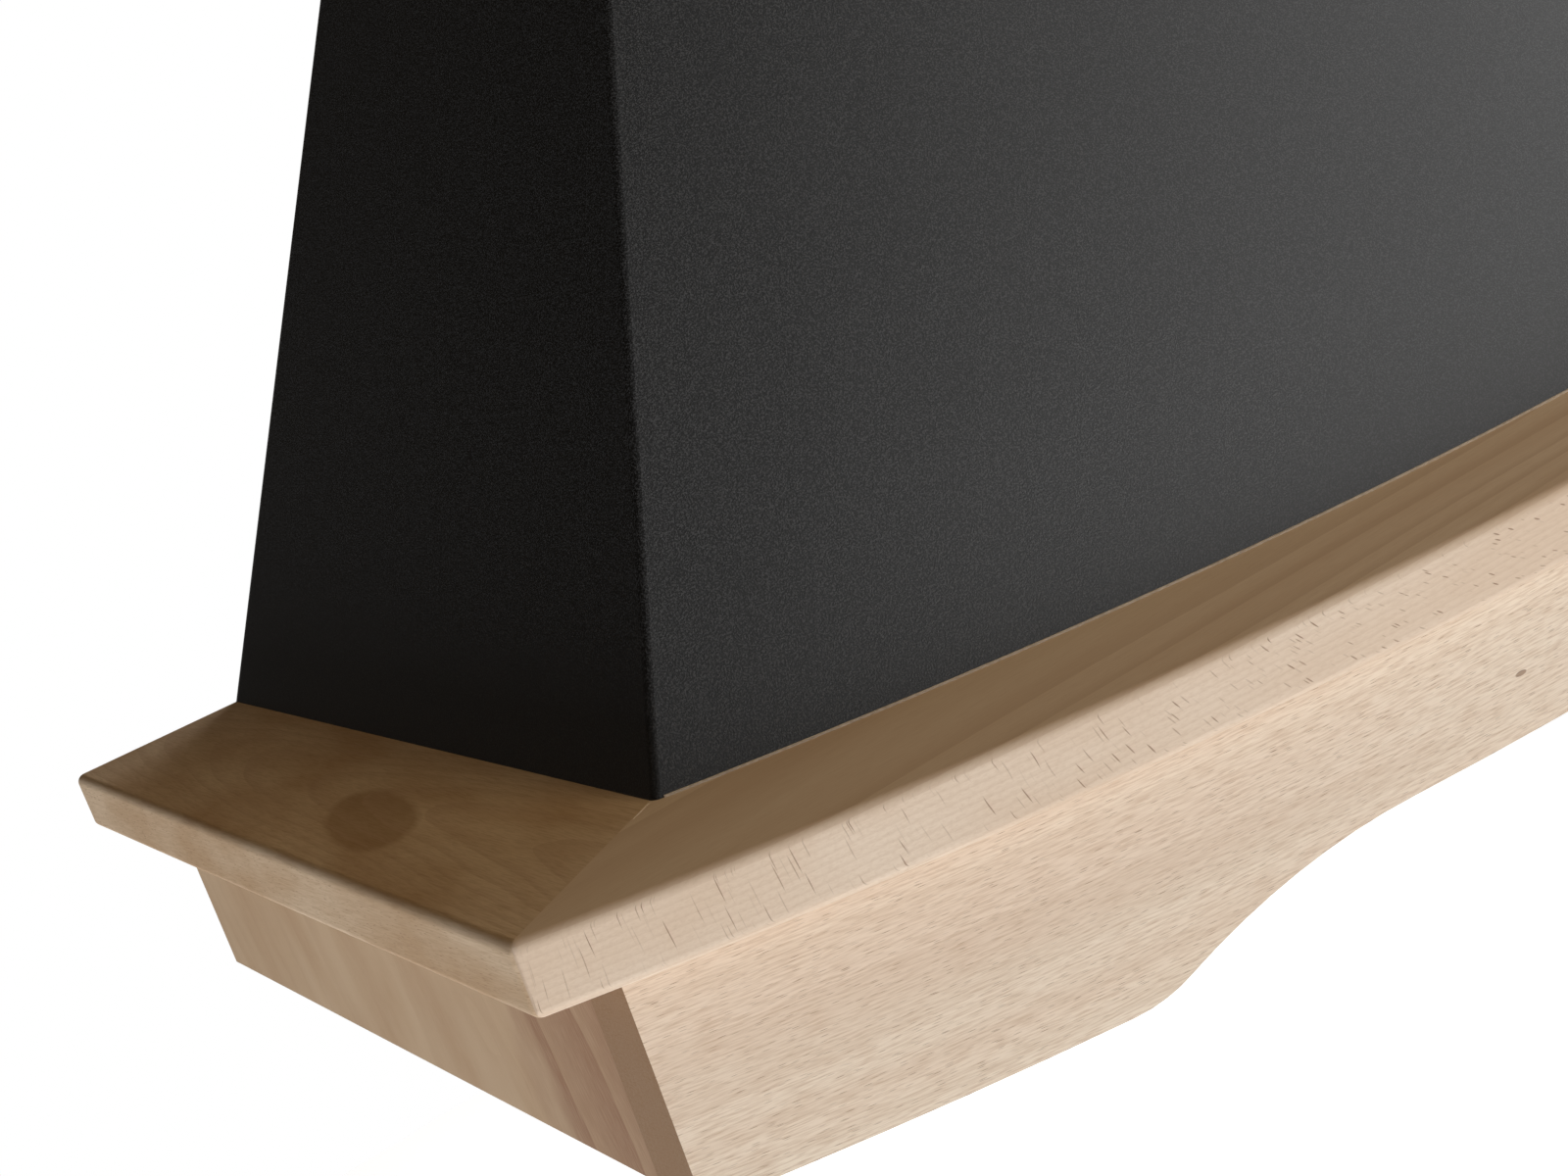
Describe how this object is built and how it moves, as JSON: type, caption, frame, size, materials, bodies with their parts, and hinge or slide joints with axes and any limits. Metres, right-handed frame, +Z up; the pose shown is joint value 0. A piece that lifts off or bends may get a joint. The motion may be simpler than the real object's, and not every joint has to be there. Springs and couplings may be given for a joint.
{
  "type": "range hood",
  "caption": "Wall range hood with a bowed black steel canopy on a mitred beech ledge and scalloped apron, telescopic chimney, grease filters, lamps, push buttons and an inner blower.",
  "frame": {"origin": "on the wall plane, on the hood's middle, level with the top of the beech ledge", "axes": "+Z up, +Y into the wall, so the bowed front faces -Y, and +X along the hood's width"},
  "size_m": [0.9, 0.4545, 0.7733],
  "materials": {
    "beech_ledge": "sanded beech, clear matt oil",
    "beech_apron": "sanded beech, clear matt oil",
    "dowel_wood": "raw beech",
    "black_coat": "fine-textured matt powder coat",
    "galvanised": "galvanised sheet",
    "pan_coat": "matt powder coat",
    "zinc": "zinc plated",
    "filter_aluminium": "bare aluminium",
    "bail_wire": "drawn wire",
    "lamp_bezel": "brushed",
    "lamp_lens": "frosted",
    "lamp_can": "cast",
    "black_plastic": "fine grain",
    "button_plastic": "satin",
    "grey_plastic": "moulded",
    "motor_steel": "machined",
    "capacitor_can": "moulded",
    "grommet_rubber": "moulded"
  },
  "bodies": {
    "hood": {"apron_front": "beech_apron", "apron_left": "beech_apron", "apron_right": "beech_apron", "back_plate": "galvanised", "blower_plate": "galvanised", "blower_screws": "zinc", "body_shell": "black_coat", "bottom_pan": "pan_coat", "cable_grommet": "grommet_rubber", "chimney_cover": "black_coat", "control_fascia": "black_plastic", "crown_dowels": "dowel_wood", "filter_springs": "zinc", "flap_pin": "zinc", "lamp_bezel_left": "lamp_bezel", "lamp_bezel_right": "lamp_bezel", "lamp_can_left": "lamp_can", "lamp_can_right": "lamp_can", "lamp_lens_left": "lamp_lens", "lamp_lens_right": "lamp_lens", "ledge_front": "beech_ledge", "ledge_left": "beech_ledge", "ledge_right": "beech_ledge", "ledge_screws": "zinc", "motor_bearings": "motor_steel", "motor_can": "motor_steel", "motor_spider": "motor_steel", "outlet_collar": "black_plastic", "pan_screws": "zinc", "run_capacitor": "capacitor_can", "scroll_left": "grey_plastic", "scroll_right": "grey_plastic", "switch_block": "black_plastic", "terminal_block": "grey_plastic", "wiring_box": "black_plastic", "wiring_cover": "black_plastic"},
    "fan": {"impeller": "grey_plastic", "impeller_nut": "zinc", "motor_shaft": "motor_steel"},
    "flap_front": {"flap_front": "grey_plastic"},
    "flap_rear": {"flap_rear": "grey_plastic"},
    "filter_left": {"filter_frame_left": "filter_aluminium", "filter_net_left": "filter_aluminium"},
    "filter_right": {"filter_frame_right": "filter_aluminium", "filter_net_right": "filter_aluminium"},
    "handle_left": {"filter_handle_left": "bail_wire"},
    "handle_right": {"filter_handle_right": "bail_wire"},
    "chimney_upper": {"chimney_extension": "black_coat", "chimney_bracket": "galvanised"},
    "button_light": {"button_light": "button_plastic"},
    "button_stop": {"button_stop": "button_plastic"},
    "button_speed_1": {"button_speed_1": "button_plastic"},
    "button_speed_2": {"button_speed_2": "button_plastic"},
    "button_speed_3": {"button_speed_3": "button_plastic"}
  },
  "joints": [
    {"name": "impeller_spin", "type": "hinge", "parent": "hood", "child": "fan", "pos_m": [0, -0.135, 0.252], "axis": [1, 0, 0], "continuous": true},
    {"name": "flap_front_swing", "type": "hinge", "parent": "hood", "child": "flap_front", "pos_m": [0, -0.0825, 0.4323], "axis": [-1, 0, 0], "range_deg": [0, 75]},
    {"name": "flap_rear_swing", "type": "hinge", "parent": "hood", "child": "flap_rear", "pos_m": [0, -0.0825, 0.4323], "axis": [1, 0, 0], "range_deg": [0, 75]},
    {"name": "chimney_slide", "type": "slide", "parent": "hood", "child": "chimney_upper", "axis": [0, 0, 1], "range_m": [0, 0.18]},
    {"name": "filter_left_tilt", "type": "hinge", "parent": "hood", "child": "filter_left", "pos_m": [-0.152, -0.04, -0.0487], "axis": [1, 0, 0], "range_deg": [0, 40]},
    {"name": "handle_left_swing", "type": "hinge", "parent": "filter_left", "child": "handle_left", "pos_m": [-0.152, -0.233, -0.05275], "axis": [1, 0, 0], "range_deg": [-80, 80]},
    {"name": "filter_right_tilt", "type": "hinge", "parent": "hood", "child": "filter_right", "pos_m": [0.152, -0.04, -0.0487], "axis": [1, 0, 0], "range_deg": [0, 40]},
    {"name": "handle_right_swing", "type": "hinge", "parent": "filter_right", "child": "handle_right", "pos_m": [0.152, -0.233, -0.05275], "axis": [1, 0, 0], "range_deg": [-80, 80]},
    {"name": "press_light", "type": "slide", "parent": "hood", "child": "button_light", "axis": [0, 0, 1], "range_m": [0, 0.003], "stiffness_N_per_m": 400},
    {"name": "press_stop", "type": "slide", "parent": "hood", "child": "button_stop", "axis": [0, 0, 1], "range_m": [0, 0.003], "stiffness_N_per_m": 400},
    {"name": "press_speed_1", "type": "slide", "parent": "hood", "child": "button_speed_1", "axis": [0, 0, 1], "range_m": [0, 0.003], "stiffness_N_per_m": 400},
    {"name": "press_speed_2", "type": "slide", "parent": "hood", "child": "button_speed_2", "axis": [0, 0, 1], "range_m": [0, 0.003], "stiffness_N_per_m": 400},
    {"name": "press_speed_3", "type": "slide", "parent": "hood", "child": "button_speed_3", "axis": [0, 0, 1], "range_m": [0, 0.003], "stiffness_N_per_m": 400}
  ]
}
